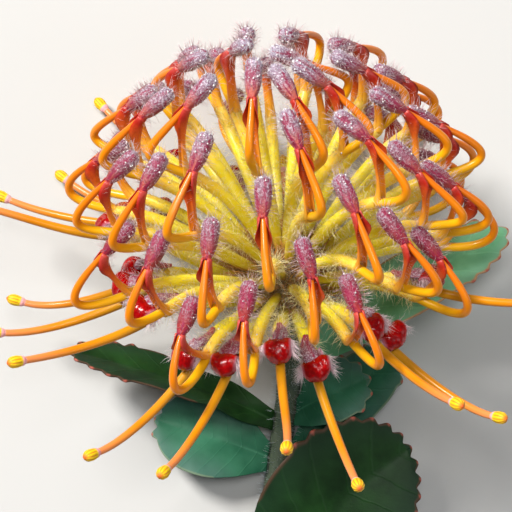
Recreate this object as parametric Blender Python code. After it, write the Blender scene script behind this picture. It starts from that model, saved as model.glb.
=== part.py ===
"""Pincushion protea: one flower head on a cut, leafy stem, lying on a surface.

Metres, +Z up. The surface is Z = 0, the stem runs back along -Y, and the head is turned up at its far end.
The head is built in a frame of its own, whose +Z is the flower's axis and whose origin is the centre of
the dome of buds, and is then tipped over into its pose.
"""

import math
import random

import bmesh
import bpy
from mathutils import Matrix, Vector
from mathutils.geometry import interpolate_bezier

MM = 0.001
CLEARANCE = 0.3 * MM
SLIVER = 0.08 * MM

# Pose of the head on the surface
AXIS_LIFT = math.radians(45)
AXIS_YAW = math.radians(7.6)
HEAD_HEIGHT = 41.5 * MM
UNDER_HEAD = Vector((3.4 * MM, 52.0 * MM, 0.0))

# Where the florets sit: a golden-angle spiral over the dome, which leans a little as it grew
FLORETS = 68
FIRST_OPEN = 45
GOLDEN_ANGLE = math.pi * (3 - math.sqrt(5))
SPIRAL_START = math.radians(251.6)
SPIRAL_STEP = 0.01846
SPIRAL_OFFSET = 0.376
SPIRAL_SPREAD = 0.15
LEAN_ONE_SIDE = math.radians(4.6)
LEAN_ONE_AT = math.radians(279)
LEAN_TWO_SIDES = math.radians(5.4)
LEAN_TWO_AT = math.radians(73)

# Two young florets that crowd the pole between the spiral's first ones: azimuth, and angle from the axis
POLE_FLORETS = ((math.radians(300), math.radians(12)), (math.radians(8), math.radians(8.5)))

# The side that opens last: its florets are still closed, and the lowest of them have not grown
LATE_MIDDLE = math.radians(17.5)
LATE_HALF = math.radians(33)
LATE_GROWN = 57

# Dome of buds
DOME_POLE = 40.5 * MM
DOME_RIM = 38.0 * MM
DOME_SIDE = math.radians(75)

# Receptacle: a low dome on a short cone
RECEPTACLE_RADIUS = 10.5 * MM
RECEPTACLE_TOP = 8.5 * MM
RECEPTACLE_RIM_Z = -18.0 * MM
RECEPTACLE_WAIST_Z = -21.2 * MM
RECEPTACLE_WAIST_RADIUS = 7.6 * MM
RECEPTACLE_FOOT_Z = -24.0 * MM
RECEPTACLE_FOOT_RADIUS = 5.0 * MM
RECEPTACLE_SIDES = 13
ROOT_SINK = 0.9 * MM
ROOT_CROWDING = 0.85
LOWEST_ROOT = math.radians(92)

# Closed floret: the mouth of its tube is inside the bud's base, this far out and down at the pole, and is
# drawn in and raised towards the dome's side. The style leaves it and enters the bud in one round bow.
MOUTH_OUT = 2.5 * MM
MOUTH_DOWN = 17.5 * MM
MOUTH_DRAW_IN = 7.5 * MM
MOUTH_RAISE = 4.5 * MM
MOUTH_BEND = 0.45
TUBE_ROOT_RADIUS = 1.0 * MM
CLOSED_TUBE_RADIUS = 1.35 * MM
CLAW_RADIUS = 1.0 * MM
CLAW_START = 3.0 * MM
CLAW_END = 3.0 * MM
NECK_RADIUS = 0.8 * MM
BUD_LENGTH = 8.6 * MM
BUD_RADIUS = 1.9 * MM
BUD_TILT = math.radians(54)
BUD_WOBBLE = 0.1
STYLE_RADIUS = 0.95 * MM
STYLE_SUNK = 2.5 * MM
STYLE_INSIDE = 1.7 * MM
LOOP_LEAVE = 15.0 * MM
LOOP_ENTER = 17.0 * MM
LOOP_WOBBLE = 2.0 * MM
LOOP_SWAY = 3.0 * MM

# Open floret: it has sagged and turned a little from its place on the spiral, and sagged more at the back
OPEN_SAG = math.radians(8)
BACK_SAG = math.radians(10)
OPEN_TURN = math.radians(-5)
OPEN_TUBE_RADIUS = 1.65 * MM
STYLE_REACH = 64.0 * MM
STYLE_SWAY = 3.0 * MM
TIP_LIFT = math.radians(6)
TIP_WOBBLE = math.radians(3)
CURL_RADIUS = 2.9 * MM
CURL_LENGTH = 5.2 * MM
TIP_RADIUS = 1.35 * MM
TIP_LENGTH = 4.0 * MM
FLOOR_EASE = 2.0 * MM

# Stem
STEM_RADIUS = 2.8 * MM
STEM_FLARE = 1.25
STEM_SIDES = 12
STEM_TOP_Z = RECEPTACLE_FOOT_Z - 2.2 * MM
STEM_DOWN = 72.0 * MM
STEM_RUN = 73.4 * MM
STEM_X = -1.0 * MM
STEM_BEND_TOP = 26.0 * MM
STEM_BEND_FOOT = 24.0 * MM

# Bracts under the head, on a ring at the top of the stem; a bract's run is (out, along the axis, half width)
BRACTS = 13
BRACT_THICKNESS = 0.8 * MM
BRACT_RUN = (
    (4.0 * MM, -25.2 * MM, 1.0 * MM),
    (7.6 * MM, -24.2 * MM, 1.5 * MM),
    (11.2 * MM, -21.9 * MM, 0.25 * MM),
)
RING_FOOT_RADIUS = 4.2 * MM
RING_TOP_RADIUS = 5.4 * MM

# Leaves
BLADE_THICKNESS = 0.8 * MM
LEAF_ROWS = 12
LEAF_SHOULDER = 0.55
LEAF_SEAT = 0.35
LEAF_WIDEST = 0.58
LEAF_FOOT_SHARE = 0.34
TOOTH_OUT = 0.5 * MM
TOOTH_IN = 0.7 * MM

head_pose = (
    Matrix.Translation(UNDER_HEAD + Vector((0, 0, HEAD_HEIGHT)))
    @ Matrix.Rotation(AXIS_YAW, 4, "Z")
    @ Matrix.Rotation(AXIS_LIFT - math.pi / 2, 4, "X")
)
rng = random.Random(7)


def clear_scene():
    for item in list(bpy.data.objects):
        bpy.data.objects.remove(item, do_unlink=True)


def make_material(name, colour, roughness):
    material = bpy.data.materials.new(name)
    material.use_nodes = True
    shader = material.node_tree.nodes["Principled BSDF"]
    shader.inputs["Base Color"].default_value = (*colour, 1.0)
    shader.inputs["Roughness"].default_value = roughness
    shader.inputs["Metallic"].default_value = 0.0
    material.diffuse_color = (*colour, 1.0)
    return material


def make_object(name, bm, material=None, collection=None):
    mesh = bpy.data.meshes.new(name)
    bm.to_mesh(mesh)
    bm.free()
    if material:
        mesh.materials.append(material)
        mesh.shade_smooth()
        mesh.set_sharp_from_angle(angle=math.radians(50))
    item = bpy.data.objects.new(name, mesh)
    (collection or bpy.context.scene.collection).objects.link(item)
    return item


def blend(a, b, t):
    return a + (b - a) * t


def sweep(path, radii, sides, across, half_turn=0.0):
    """A closed tube along a path; across is a direction that stays square to the path, more or less."""
    bm = bmesh.new()
    rings = []
    last = len(path) - 1
    for i, (point, radius) in enumerate(zip(path, radii)):
        along = (path[min(i + 1, last)] - path[max(i - 1, 0)]).normalized()
        side = (across - along * across.dot(along)).normalized()
        up = side.cross(along)
        ring = []
        for j in range(sides):
            angle = 2 * math.pi * (j + half_turn) / sides
            ring.append(bm.verts.new(point + (up * math.cos(angle) + side * math.sin(angle)) * radius))
        rings.append(ring)
    for lower, upper in zip(rings, rings[1:]):
        for j in range(sides):
            k = (j + 1) % sides
            bm.faces.new((lower[j], lower[k], upper[k], upper[j]))
    bm.faces.new(reversed(rings[0]))
    bm.faces.new(rings[-1])
    return bm


def turned(profile, sides):
    """A closed solid turned about Z from (radius, z) pairs that run from the foot to the top."""
    bm = bmesh.new()
    rings = []
    for radius, z in profile:
        ring = []
        for j in range(sides):
            angle = 2 * math.pi * j / sides
            ring.append(bm.verts.new((radius * math.cos(angle), radius * math.sin(angle), z)))
        rings.append(ring)
    for lower, upper in zip(rings, rings[1:]):
        for j in range(sides):
            k = (j + 1) % sides
            bm.faces.new((lower[j], lower[k], upper[k], upper[j]))
    bm.faces.new(reversed(rings[0]))
    bm.faces.new(rings[-1])
    return bm


def join_all(base, pieces):
    """Joins a collection's objects to the base by one union, and removes them."""
    union = base.modifiers.new("Join", "BOOLEAN")
    union.operation = "UNION"
    union.operand_type = "COLLECTION"
    union.collection = pieces
    union.solver = "EXACT"
    bpy.context.view_layer.update()
    evaluated = base.evaluated_get(bpy.context.evaluated_depsgraph_get())
    joined = bpy.data.meshes.new_from_object(evaluated)
    base.modifiers.clear()
    base.data = joined
    for item in list(pieces.objects):
        bpy.data.objects.remove(item, do_unlink=True)
    bpy.data.collections.remove(pieces)
    keep_largest_shell(joined)


def keep_largest_shell(mesh):
    """Drops loose scraps and the walls of sealed hollows that a union leaves."""
    bm = bmesh.new()
    bm.from_mesh(mesh)
    bmesh.ops.triangulate(bm, faces=bm.faces)
    bmesh.ops.dissolve_degenerate(bm, dist=SLIVER, edges=bm.edges)
    left = set(bm.verts)
    shells = []
    while left:
        stack = [left.pop()]
        shell = set(stack)
        while stack:
            for edge in stack.pop().link_edges:
                for vert in edge.verts:
                    if vert in left:
                        left.discard(vert)
                        shell.add(vert)
                        stack.append(vert)
        shells.append(shell)
    largest = max(shells, key=len)
    bmesh.ops.delete(bm, geom=[v for v in bm.verts if v not in largest], context="VERTS")
    bm.to_mesh(mesh)
    bm.free()


def polar(azimuth, out, up):
    """A point of the head's frame from its azimuth, distance from the axis and height along it."""
    return Vector((out * math.cos(azimuth), out * math.sin(azimuth), up))


def floret_place(k):
    """Azimuth of floret k round the flower's axis, and its bud's angle from that axis."""
    q = (k + SPIRAL_OFFSET) * SPIRAL_STEP
    angle = math.acos(1 - q * (1 + SPIRAL_SPREAD * (q - 0.6)))
    azimuth = SPIRAL_START - k * GOLDEN_ANGLE
    lean = LEAN_ONE_SIDE * math.cos(azimuth - LEAN_ONE_AT)
    lean += LEAN_TWO_SIDES * math.cos(2 * (azimuth - LEAN_TWO_AT))
    return azimuth, angle + lean * math.sin(angle)


def opens_late(k):
    """Whether floret k is on the side of the head that opens last."""
    azimuth, _ = floret_place(k)
    return math.cos(azimuth - LATE_MIDDLE) > math.cos(LATE_HALF)


def dome_radius(angle):
    return blend(DOME_POLE, DOME_RIM, math.sin(angle) ** 2)


def floret_root(azimuth, bud_angle):
    """Where a floret's tube starts, just under the receptacle's skin, and the direction out of it."""
    angle = min(ROOT_CROWDING * bud_angle, LOWEST_ROOT)
    out = (RECEPTACLE_RADIUS - ROOT_SINK) * math.sin(angle)
    up = (RECEPTACLE_TOP - ROOT_SINK) * math.cos(angle)
    return polar(azimuth, out, RECEPTACLE_RIM_Z + up), polar(azimuth, math.sin(angle), math.cos(angle))


def settle(points, rise):
    """Bends a path that would pass below the surface so that it comes to lie along it."""
    settled = []
    for point in points:
        world = head_pose @ point
        depth = world.z - rise
        world.z = rise + 0.5 * (depth + math.hypot(depth, FLOOR_EASE))
        settled.append(head_pose.inverted() @ world)
    return settled


def flatten_below(bm, pose):
    """Presses what would lie under the surface flat on it."""
    back = pose.inverted()
    for vert in bm.verts:
        world = pose @ vert.co
        if world.z < 0:
            world.z = 0.0
            vert.co = back @ world


def closed_floret(k, place, pieces):
    """Perianth tube, claw and bud in one sweep, and the style that loops out of the tube into the bud."""
    azimuth, angle = place
    across = Vector((-math.sin(azimuth), math.cos(azimuth), 0))
    outward = polar(azimuth, math.sin(angle), math.cos(angle))
    poleward = polar(azimuth, -math.cos(angle), math.sin(angle))
    tilt = BUD_TILT + rng.uniform(-BUD_WOBBLE, BUD_WOBBLE)
    bud_way = polar(azimuth, -math.sin(tilt), math.cos(tilt)) + across * rng.uniform(-BUD_WOBBLE, BUD_WOBBLE)
    bud_way.normalize()
    base = outward * dome_radius(angle) - bud_way * BUD_LENGTH / 2
    share = angle / DOME_SIDE
    mouth = base + polar(azimuth, MOUTH_OUT - MOUTH_DRAW_IN * share**2.5, MOUTH_RAISE * share - MOUTH_DOWN)
    root, root_way = floret_root(azimuth, angle)
    claw_way = (mouth - Vector((0, 0, RECEPTACLE_RIM_Z))).normalized()
    tube_way = (claw_way - poleward * MOUTH_BEND).normalized()
    reach = (mouth - root).length

    tube = interpolate_bezier(root, root + root_way * reach * 0.3, mouth - tube_way * reach * 0.35, mouth, 3)
    claw = interpolate_bezier(mouth, mouth + claw_way * CLAW_START, base - bud_way * CLAW_END, base, 3)
    bud = [base + bud_way * BUD_LENGTH * t for t in (0.28, 0.66, 1.0)]
    radii = [TUBE_ROOT_RADIUS, 0.95 * CLOSED_TUBE_RADIUS, CLOSED_TUBE_RADIUS]
    radii += [CLAW_RADIUS, NECK_RADIUS, 0.8 * BUD_RADIUS, BUD_RADIUS, 0.5 * BUD_RADIUS]
    perianth = sweep(tube + claw[1:] + bud, radii, 5, across)
    make_object(f"perianth_{k}", perianth, collection=pieces)

    leave = tube_way * (LOOP_LEAVE + rng.uniform(-LOOP_WOBBLE, LOOP_WOBBLE))
    enter = bud_way * (LOOP_ENTER + rng.uniform(-LOOP_WOBBLE, LOOP_WOBBLE))
    sway = across * rng.uniform(-LOOP_SWAY, LOOP_SWAY)
    start = mouth - tube_way * STYLE_SUNK
    inside = base + bud_way * STYLE_INSIDE
    loop = interpolate_bezier(start, start + leave + sway, inside - enter + sway, inside, 6)
    style = sweep(loop, [STYLE_RADIUS] * (len(loop) - 1) + [0.6 * STYLE_RADIUS], 4, across)
    make_object(f"style_{k}", style, collection=pieces)


def open_floret(k, pieces):
    """Tube, freed style and its swollen tip in one sweep, and the perianth rolled back at its mouth."""
    azimuth, angle = floret_place(k)
    azimuth += OPEN_TURN
    angle += OPEN_SAG + BACK_SAG * max(0.0, math.sin(azimuth))
    across = Vector((-math.sin(azimuth), math.cos(azimuth), 0))
    outward = polar(azimuth, math.sin(angle), math.cos(angle))
    poleward = polar(azimuth, -math.cos(angle), math.sin(angle))
    curl_at = outward * (DOME_RIM - 1.5 * MM)
    mouth = curl_at - outward * 4.0 * MM - poleward * 0.92 * CURL_RADIUS
    root, root_way = floret_root(azimuth, angle)
    tip_angle = angle - TIP_LIFT + rng.uniform(-TIP_WOBBLE, TIP_WOBBLE)
    tip = polar(azimuth, math.sin(tip_angle), math.cos(tip_angle)) * STYLE_REACH
    tip += across * rng.uniform(-STYLE_SWAY, STYLE_SWAY)
    tip_way = polar(azimuth, 0.92, 0.38).normalized()
    reach = (mouth - root).length
    leave, enter = 11 * MM, 9 * MM
    tube = interpolate_bezier(root, root + root_way * reach * 0.3, mouth - outward * reach * 0.3, mouth, 3)
    free = interpolate_bezier(mouth, mouth + outward * leave, tip - tip_way * enter, tip, 5)
    head = [tip + tip_way * TIP_LENGTH * t for t in (0.4, 1.0)]
    radii = [TUBE_ROOT_RADIUS, OPEN_TUBE_RADIUS, OPEN_TUBE_RADIUS]
    radii += [STYLE_RADIUS] * 4 + [TIP_RADIUS, 0.3 * TIP_RADIUS]
    path = settle(tube + free[1:] + head, 0.8 * STYLE_RADIUS)
    style = sweep(path, radii, 4, across)
    flatten_below(style, head_pose)
    make_object(f"open_{k}", style, collection=pieces)

    curl_at = settle([curl_at], 0.72 * CURL_RADIUS)[0]
    ends = [curl_at + across * CURL_LENGTH * t for t in (-0.5, 0.0, 0.5)]
    curl = sweep(ends, [0.75 * CURL_RADIUS, CURL_RADIUS, 0.75 * CURL_RADIUS], 6, outward)
    flatten_below(curl, head_pose)
    make_object(f"curl_{k}", curl, collection=pieces)


def build_flower_head():
    profile = [(RECEPTACLE_FOOT_RADIUS, RECEPTACLE_FOOT_Z), (RECEPTACLE_WAIST_RADIUS, RECEPTACLE_WAIST_Z)]
    for step in range(5):
        angle = math.radians(90 - 20 * step)
        height = RECEPTACLE_RIM_Z + RECEPTACLE_TOP * math.cos(angle)
        profile.append((RECEPTACLE_RADIUS * math.sin(angle), height))
    material = make_material("flower_head", (0.80, 0.42, 0.04), 0.45)
    head = make_object("flower_head", turned(profile, RECEPTACLE_SIDES), material)
    pieces = bpy.data.collections.new("florets")
    bpy.context.scene.collection.children.link(pieces)
    for k in range(FLORETS):
        late = opens_late(k)
        if k < FIRST_OPEN or (late and k < LATE_GROWN):
            closed_floret(k, floret_place(k), pieces)
        elif not late:
            open_floret(k, pieces)
    for extra, place in enumerate(POLE_FLORETS):
        closed_floret(FLORETS + extra, place, pieces)
    join_all(head, pieces)
    head.data.materials.clear()
    head.data.materials.append(material)
    head.data.shade_smooth()
    head.data.set_sharp_from_angle(angle=math.radians(50))
    head.matrix_world = head_pose


def build_involucre():
    """A ring of short hairy bracts on the swollen top of the stem."""
    top = RECEPTACLE_FOOT_Z - CLEARANCE
    foot = STEM_TOP_Z + CLEARANCE
    material = make_material("involucre", (0.33, 0.30, 0.16), 0.8)
    ring = make_object("involucre", turned([(RING_FOOT_RADIUS, foot), (RING_TOP_RADIUS, top)], 14), material)
    pieces = bpy.data.collections.new("bracts")
    bpy.context.scene.collection.children.link(pieces)
    for i in range(BRACTS):
        azimuth = 2 * math.pi * i / BRACTS
        across = Vector((-math.sin(azimuth), math.cos(azimuth), 0))
        lift = polar(azimuth, -0.35, 0.94) * BRACT_THICKNESS / 2
        bm = bmesh.new()
        rows = []
        for out, up, half in BRACT_RUN:
            point = polar(azimuth, out, up)
            corners = [point + across * x * half + lift * y for x, y in ((-1, -1), (1, -1), (1, 1), (-1, 1))]
            rows.append([bm.verts.new(corner) for corner in corners])
        for lower, upper in zip(rows, rows[1:]):
            for j in range(4):
                bm.faces.new((lower[j], lower[(j + 1) % 4], upper[(j + 1) % 4], upper[j]))
        bm.faces.new(reversed(rows[0]))
        bm.faces.new(rows[-1])
        make_object(f"bract_{i}", bm, collection=pieces)
    join_all(ring, pieces)
    ring.data.materials.clear()
    ring.data.materials.append(material)
    ring.matrix_world = head_pose


def stem_path():
    """Down from the head in a gentle bend, then straight along the surface to the cut end."""
    rest_z = STEM_RADIUS * math.cos(math.pi / STEM_SIDES)
    top = head_pose @ Vector((0, 0, STEM_TOP_Z))
    down = head_pose.to_3x3() @ Vector((0, 0, -1))
    lying = UNDER_HEAD + Vector((STEM_X, -STEM_DOWN, rest_z))
    end = lying - Vector((0, STEM_RUN, 0))
    above = lying + Vector((0, STEM_BEND_FOOT, 0))
    bend = interpolate_bezier(top, top + down * STEM_BEND_TOP, above, lying, 13)
    runs = 5
    run = [lying.lerp(end, i / runs) for i in range(1, runs + 1)]
    return bend + run


def build_stem():
    path = stem_path()
    radii = [blend(STEM_FLARE, 1.0, min(1.0, i / 3)) * STEM_RADIUS for i in range(len(path))]
    bm = sweep(path, radii, STEM_SIDES, Vector((1, 0, 0)), half_turn=0.5)
    make_object("stem", bm, make_material("stem", (0.20, 0.25, 0.13), 0.7))


def stem_at(distance):
    """The stem's centre and direction towards the head, this far from its top."""
    path = stem_path()
    for a, b in zip(path, path[1:]):
        step = (b - a).length
        if distance <= step:
            return a.lerp(b, distance / step), (a - b).normalized()
        distance -= step
    raise ValueError("past the end of the stem")


def leaf_outline(u):
    """Half width of a blade as a share of its greatest half width, u from base to tip."""
    rise = blend(LEAF_FOOT_SHARE, 1.0, math.sin(math.pi / 2 * min(1.0, u / LEAF_WIDEST)) ** 1.3)
    fall = max(0.0, (u - LEAF_WIDEST) / (1.02 - LEAF_WIDEST))
    return rise * math.sqrt(1 - fall**2.6)


def build_leaf(name, colour, distance, tip, face, width, arch, bow=0.0, fold=10.0):
    """A thin arched blade with a toothed tip, seated on the stem.

    distance is along the stem from its top and tip is where the blade ends, both in mm; face is the way
    its upper side looks; arch and bow are how far the rib stands off the straight line, in mm, upwards
    and to its right; fold is the angle that lifts the margins.
    """
    centre, forward = stem_at(distance * MM)
    tip = UNDER_HEAD + Vector(tip) * MM
    out = (tip - centre).normalized() + Vector((0, 0, LEAF_SHOULDER))
    out = (out - forward * out.dot(forward)).normalized()
    base = centre + out * (STEM_RADIUS + CLEARANCE + BLADE_THICKNESS * 0.55)
    face = Vector(face).normalized()
    middle = base.lerp(tip, 0.45) + face * arch * MM + (tip - base).cross(face).normalized() * bow * MM
    flat = (middle - base).cross(forward).normalized()
    flat *= math.copysign(1, flat.dot(face))
    fold = math.radians(fold)
    bm = bmesh.new()
    grid = []
    for i in range(LEAF_ROWS + 1):
        u = i / LEAF_ROWS
        point = base * (1 - u) ** 2 + middle * 2 * u * (1 - u) + tip * u**2
        rib = ((middle - base) * (1 - u) + (tip - middle) * u).normalized()
        seat = max(0.0, 1 - u / LEAF_SEAT)
        normal = face.lerp(flat, seat)
        normal = (normal - rib * normal.dot(rib)).normalized()
        across = rib.cross(normal)
        aside = rib - forward * rib.dot(forward)
        slant = rib * (-across.dot(aside) / rib.dot(aside) * seat)
        half = leaf_outline(u) * width / 2 * MM
        if u > 0.6:
            half += TOOTH_OUT if i % 2 else -TOOTH_IN
        row = []
        for v in (-1, -0.5, 0, 0.5, 1):
            lifted = normal * abs(v) * half * math.sin(fold)
            place = point + (across + slant) * v * half * math.cos(fold) + lifted
            row.append([bm.verts.new(place + normal * BLADE_THICKNESS / 2 * s) for s in (1, -1)])
        grid.append(row)
    for lower, upper in zip(grid, grid[1:]):
        for j in range(4):
            for s in (0, 1):
                a, b, c, d = lower[j][s], lower[j + 1][s], upper[j + 1][s], upper[j][s]
                for corners in ((a, b, c), (a, c, d)):
                    bm.faces.new(reversed(corners) if s else corners)
    loop = [grid[0][j] for j in range(4)] + [row[4] for row in grid[:-1]]
    loop += [grid[-1][j] for j in (4, 3, 2, 1)] + [row[0] for row in reversed(grid[1:])]
    for a, b in zip(loop, loop[1:] + loop[:1]):
        bm.faces.new((a[1], b[1], b[0], a[0]))
    make_object(name, bm, make_material(name, colour, 0.55))


def build_leaves():
    dark, pale, bright = (0.05, 0.11, 0.05), (0.26, 0.38, 0.27), (0.12, 0.26, 0.08)
    build_leaf("leaf_01", dark, 30, (-46, -28, 17), (0.35, 0.7, 0.6), 13, 3)
    build_leaf("leaf_02", bright, 13, (51, -1, 20), (-0.3, 0.3, 0.9), 16, 3)
    build_leaf("leaf_03", pale, 39, (-27, -43, 6), (0.2, 0.1, 0.97), 20, 3)
    build_leaf("leaf_04", pale, 27, (20, -34, 13), (-0.5, 0.0, 0.85), 15, 2.5, fold=14)
    build_leaf("leaf_05", dark, 74, (29, -50, 13), (0.15, -0.1, 0.97), 33, 4, bow=-11, fold=8)
    build_leaf("leaf_06", pale, 39, (27, -28, 5), (-0.2, 0.2, 0.95), 16, 2)
    build_leaf("leaf_07", dark, 89, (-36, -76, 8), (0.2, 0.1, 0.97), 26, 4)
    build_leaf("leaf_08", dark, 101, (34, -88, 8), (-0.2, 0.1, 0.97), 26, 4)
    build_leaf("leaf_09", dark, 114, (-30, -109, 8), (0.2, 0.1, 0.97), 24, 4)


clear_scene()
build_flower_head()
build_involucre()
build_stem()
build_leaves()
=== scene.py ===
"""A cut pincushion protea that lies on a pale table, its flower head turned up to the camera."""

import random
from math import acos, copysign, cos, pi, radians, sin, sqrt

import bpy
import numpy as np
from mathutils import Matrix, Vector
from numpy.random import default_rng


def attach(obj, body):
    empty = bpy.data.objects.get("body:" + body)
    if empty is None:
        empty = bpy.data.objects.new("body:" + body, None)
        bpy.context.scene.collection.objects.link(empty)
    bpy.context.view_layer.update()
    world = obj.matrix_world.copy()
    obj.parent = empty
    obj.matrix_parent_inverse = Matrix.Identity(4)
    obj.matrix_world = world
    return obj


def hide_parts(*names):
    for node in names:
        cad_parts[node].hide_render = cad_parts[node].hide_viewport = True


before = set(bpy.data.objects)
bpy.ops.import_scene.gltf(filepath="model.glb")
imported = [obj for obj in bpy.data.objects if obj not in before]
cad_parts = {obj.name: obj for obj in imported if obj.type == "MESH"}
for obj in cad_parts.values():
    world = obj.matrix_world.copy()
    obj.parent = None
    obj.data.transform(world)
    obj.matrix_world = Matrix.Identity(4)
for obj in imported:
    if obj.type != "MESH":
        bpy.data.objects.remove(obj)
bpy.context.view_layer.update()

# Finishes. Each is wired from these parts, beside the pieces that wear it.
MM = 0.001


class Wire:
    """One output of a shader node. Sums and products with numbers or other wires add Math nodes."""

    def __init__(self, finish, socket):
        self.finish = finish
        self.socket = socket

    def sum(self, operation, a, b):
        return self.finish.node("ShaderNodeMath", {"operation": operation}, {0: a, 1: b})

    def __add__(self, other):
        return self.sum("ADD", self, other)

    def __sub__(self, other):
        return self.sum("SUBTRACT", self, other)

    def __rsub__(self, other):
        return self.sum("SUBTRACT", other, self)

    def __mul__(self, other):
        return self.sum("MULTIPLY", self, other)

    __radd__ = __add__
    __rmul__ = __mul__

    def step(self, low, high):
        """0 where the value is below low, 1 where it is above high, and smooth between them."""
        sockets = {"Value": self, "From Min": low, "From Max": high}
        return self.finish.node("ShaderNodeMapRange", {"interpolation_type": "SMOOTHSTEP"}, sockets)

    def blend(self, a, b):
        """A colour that goes from a, where the value is 0, to b, where it is 1."""
        settings = {"data_type": "RGBA", "clamp_factor": True}
        return self.finish.node("ShaderNodeMix", settings, {0: self, 6: a, 7: b}, 2)

    def ramp(self, first, *others):
        """A colour from stops, given in order. The two that a new ramp has already become its ends."""
        stops = (first, others[-1], *others[:-1])
        return self.finish.node("ShaderNodeValToRGB", {"stops": stops}, {"Fac": self})


class Finish:
    """A procedural finish: nodes that are wired to one Principled shader, whose even values are set on it."""

    def __init__(self, name, **even):
        self.material = bpy.data.materials.new(name)
        self.material.use_nodes = True
        self.tree = self.material.node_tree
        self.shader = self.tree.nodes["Principled BSDF"]
        self.coat(**even)

    def plug(self, socket, value):
        if isinstance(value, Wire):
            self.tree.links.new(value.socket, socket)
        elif isinstance(value, tuple) and len(value) == 3 and socket.type == "RGBA":
            socket.default_value = (*value, 1)
        else:
            socket.default_value = value

    def node(self, kind, settings, sockets, out=0):
        node = self.tree.nodes.new(kind)
        for name, value in settings.items():
            if name == "stops":
                for step, (place, colour) in enumerate(value):
                    stops = node.color_ramp.elements
                    stop = stops[step] if step < 2 else stops.new(place)
                    stop.position = place
                    stop.color = (*colour, 1)
            else:
                setattr(node, name, value)
        for name, value in sockets.items():
            self.plug(node.inputs[name], value)
        return Wire(self, node.outputs[out])

    def mark(self, name):
        return self.node("ShaderNodeAttribute", {"attribute_name": name}, {}, "Fac")

    def grain(self, size, detail=2.0, stretch=(1, 1, 1)):
        """Noise from 0 to 1 in patches about size millimetres wide, longer where stretch is under 1."""
        place = self.node("ShaderNodeTexCoord", {}, {}, "Object")
        scaled = self.node("ShaderNodeMapping", {}, {"Vector": place, "Scale": stretch})
        sockets = {"Vector": scaled, "Scale": 1 / (size * MM), "Detail": detail}
        return self.node("ShaderNodeTexNoise", {}, sockets)

    def coat(self, **sockets):
        for name, value in sockets.items():
            self.plug(self.shader.inputs[name.replace("_", " ")], value)
        return self.material

    def relief(self, height, depth):
        """A bump of this many millimetres from a height of 0 to 1."""
        sockets = {"Height": height, "Strength": 1.0, "Distance": depth * MM}
        self.coat(Normal=self.node("ShaderNodeBump", {}, sockets))


# Table, light and camera. The table is a plain pale board. A large soft lamp lights the flower from the upper
# left, with fainter ones opposite and overhead. The camera looks almost straight down through a long lens. It
# sees the head as the photograph does: the flower's axis leans 53 degrees from the line of sight.
TABLE_SIDE = 3.0
TABLE_COLOUR = (0.52, 0.52, 0.51)
ROOM_COLOUR = (0.92, 0.95, 1.0, 1)
ROOM_STRENGTH = 0.11
BLOOM_PLACE = np.array([3.4, 52.0, 41.5])
BLOOM_HEADING = radians(7.6)
BLOOM_RISE = radians(45)
BLOOM_TURN = np.array(
    Matrix.Rotation(BLOOM_HEADING, 3, "Z") @ Matrix.Rotation(BLOOM_RISE - pi / 2, 3, "X")
)
CAMERA_LIFT = radians(82)
CAMERA_DISTANCE = 0.425
CAMERA_AIM = 5.9
PICTURE_SIDE = 512
PICTURE_WIDTH = 0.11008
PICTURE_SHIFT = (-18.8, -60.9)


def unit(ways):
    return ways / np.linalg.norm(ways, axis=-1, keepdims=True)


def in_bloom(points):
    """Points given from the middle of the dome of buds, +Z along its axis, as they lie on the table."""
    return points @ BLOOM_TURN.T + BLOOM_PLACE


def add_item(name, data):
    item = bpy.data.objects.new(name, data)
    bpy.context.scene.collection.objects.link(item)
    return item


def lamp(name, place, width, power, colour):
    """A round soft lamp turned to the head, with its place and width in metres and its power in watts."""
    light = bpy.data.lights.new(name, "AREA")
    light.shape = "DISK"
    light.size = width
    light.energy = power
    light.color = colour
    place = Vector(place)
    turn = (place - Vector(BLOOM_PLACE * MM)).to_track_quat("Z", "Y")
    add_item(name, light).matrix_world = Matrix.Translation(place) @ turn.to_matrix().to_4x4()


bpy.ops.mesh.primitive_plane_add(size=TABLE_SIDE)
table = bpy.context.object
table.name = "table"
table.data.materials.append(Finish("pale board", Base_Color=TABLE_COLOUR, Roughness=0.75).material)

lamp("key", (-0.9, 0.9, 1.44), 0.5, 56.0, (1.0, 0.97, 0.93))
lamp("fill", (1.4, -0.6, 1.2), 1.2, 6.0, (0.94, 0.97, 1.0))
lamp("top", (0.1, 0.2, 2.0), 0.6, 15.0, (1.0, 1.0, 1.0))
world = bpy.data.worlds.new("room")
world.use_nodes = True
glow = world.node_tree.nodes["Background"].inputs
glow["Color"].default_value = ROOM_COLOUR
glow["Strength"].default_value = ROOM_STRENGTH
bpy.context.scene.world = world
bpy.context.scene.view_settings.view_transform = "Standard"

camera = add_item("camera", bpy.data.cameras.new("camera"))
aim = in_bloom([0, 0, CAMERA_AIM]) * MM
back = np.array([0, -cos(CAMERA_LIFT), sin(CAMERA_LIFT)])
camera.location = aim + back * CAMERA_DISTANCE
camera.rotation_euler = (pi / 2 - CAMERA_LIFT, 0, 0)
camera.data.lens = camera.data.sensor_width * CAMERA_DISTANCE / PICTURE_WIDTH
camera.data.shift_x = PICTURE_SHIFT[0] / PICTURE_SIDE
camera.data.shift_y = PICTURE_SHIFT[1] / PICTURE_SIDE
camera.data.clip_start = 0.01
bpy.context.scene.camera = camera

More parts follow.
